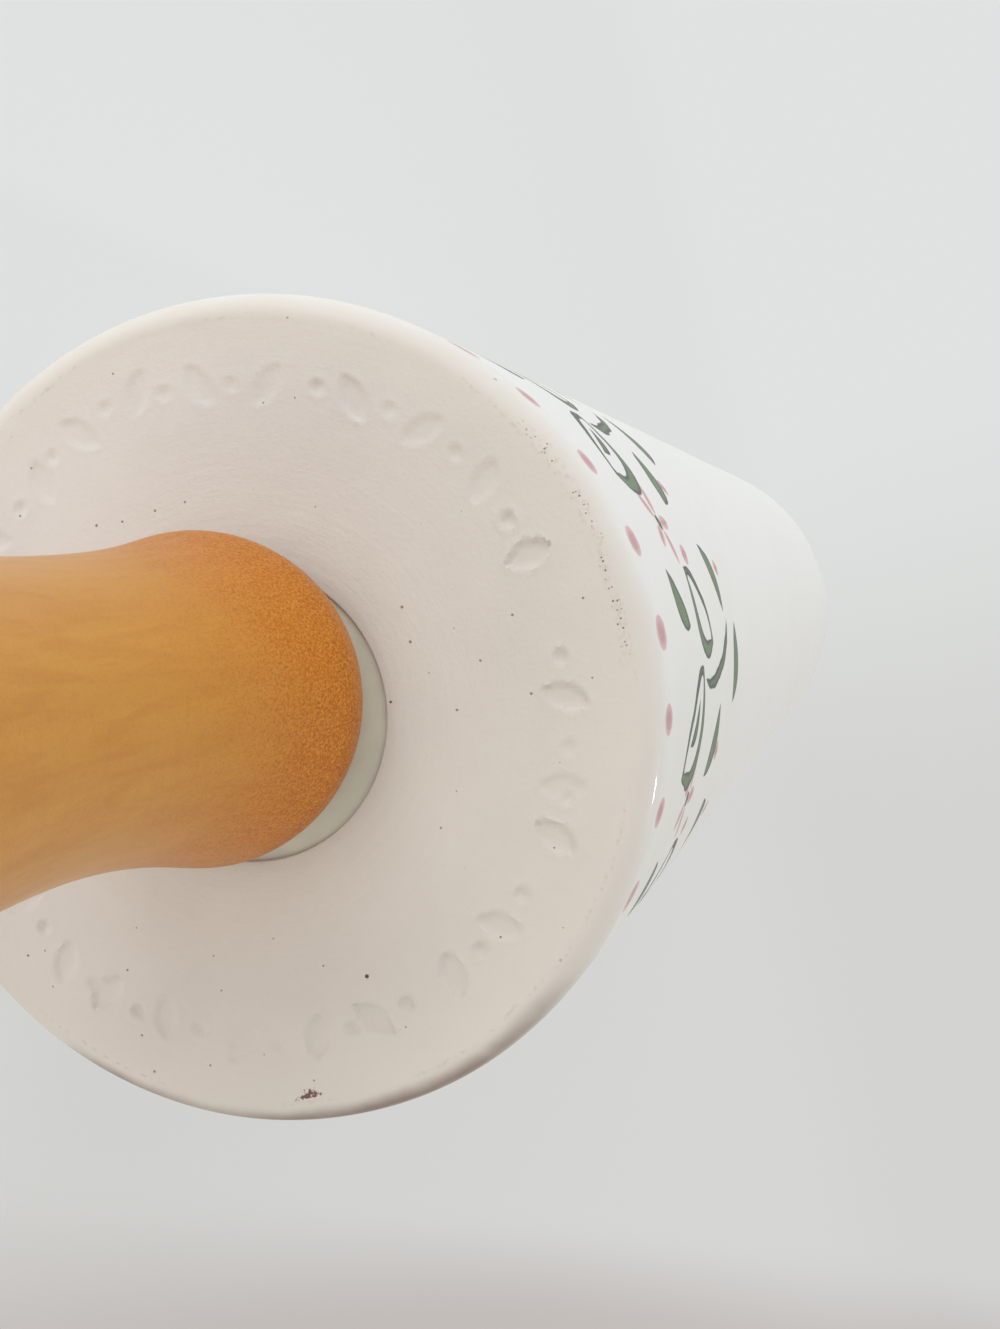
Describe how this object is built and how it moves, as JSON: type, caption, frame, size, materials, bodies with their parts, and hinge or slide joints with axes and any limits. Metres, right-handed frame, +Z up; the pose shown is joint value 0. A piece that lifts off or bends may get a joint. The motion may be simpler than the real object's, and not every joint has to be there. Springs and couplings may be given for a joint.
{
  "type": "rolling pin",
  "caption": "Glazed ceramic rolling pin whose hollow barrel turns on a steel rod between turned wooden handles.",
  "frame": {"origin": "centre of the barrel, on the rod's axis", "axes": "+X along the rod towards the right handle, +Z up; the pin lies on the lowest line of the barrel"},
  "size_m": [0.4572, 0.07, 0.07],
  "materials": {
    "glazed_ceramic": "gloss glaze on the side, bare bisque on the ends",
    "bush_plastic": "matt, slightly translucent",
    "rod_steel": "drawn",
    "washer_steel": "tumbled",
    "insert_brass": "machined",
    "handle_wood": "oiled and lightly varnished"
  },
  "bodies": {
    "barrel": {"barrel": "glazed_ceramic", "left_end_bush": "bush_plastic", "right_end_bush": "bush_plastic"},
    "handles": {"rod": "rod_steel", "left_thrust_washer": "washer_steel", "right_thrust_washer": "washer_steel", "left_threaded_insert": "insert_brass", "right_threaded_insert": "insert_brass", "left_handle": "handle_wood", "right_handle": "handle_wood"}
  },
  "joints": [
    {"name": "barrel_spin", "type": "hinge", "parent": "barrel", "child": "handles", "pos_m": [0, 0, 0], "axis": [1, 0, 0], "continuous": true}
  ]
}
